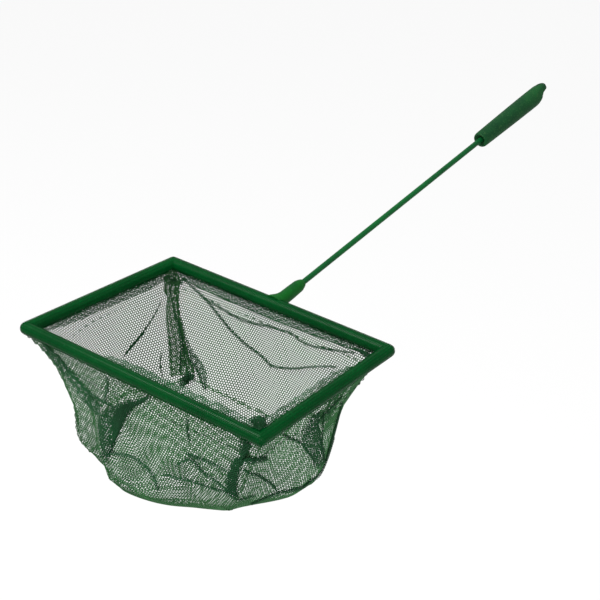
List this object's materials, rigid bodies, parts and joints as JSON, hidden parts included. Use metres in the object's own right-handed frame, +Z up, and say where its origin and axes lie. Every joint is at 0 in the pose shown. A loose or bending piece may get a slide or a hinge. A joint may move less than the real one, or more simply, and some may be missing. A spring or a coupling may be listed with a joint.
{
  "type": "aquarium fish net",
  "caption": "Rectangular wire hoop with a soft knitted net bag and a thin coated handle with a grip and hang hole, for lifting small fish out of a tank.",
  "frame": {"origin": "middle of the hang hole in the tongue of the grip", "axes": "+Z up, square to the plane of the hoop with the bag hanging towards -Z; +Y from the hoop along the handle; +X to the right seen from the front bar"},
  "size_m": [0.2028, 0.4474, 0.1672],
  "materials": {
    "steel": "drawn wire, dull grey",
    "tube_plastic": "glossy green soft plastic tube",
    "hem_netting": "fine green netting stretched over the tube, satin",
    "netting": "fine knitted green nylon netting",
    "pleat_netting": "several layers of green netting gathered in a pleat",
    "thread": "dark green sewing thread",
    "rod_plastic": "smooth green plastic coating",
    "grip_vinyl": "soft dark green moulded vinyl"
  },
  "bodies": {
    "root": {"hoop_wire": "steel", "rod_core": "steel", "rod_weld": "steel", "front_tube": "tube_plastic", "right_tube": "tube_plastic", "left_tube": "tube_plastic", "rear_right_tube": "tube_plastic", "rear_left_tube": "tube_plastic", "front_hem": "hem_netting", "right_hem": "hem_netting", "rear_hem": "hem_netting", "left_hem": "hem_netting", "front_net": "netting", "right_net": "netting", "rear_net": "netting", "left_net": "netting", "floor_net": "netting", "front_left_pleat": "pleat_netting", "front_right_pleat": "pleat_netting", "rear_right_pleat": "pleat_netting", "rear_left_pleat": "pleat_netting", "corner_knots": "thread", "hem_stitches": "thread", "rod_coating": "rod_plastic", "collar": "rod_plastic", "grip": "grip_vinyl"}
  },
  "joints": []
}
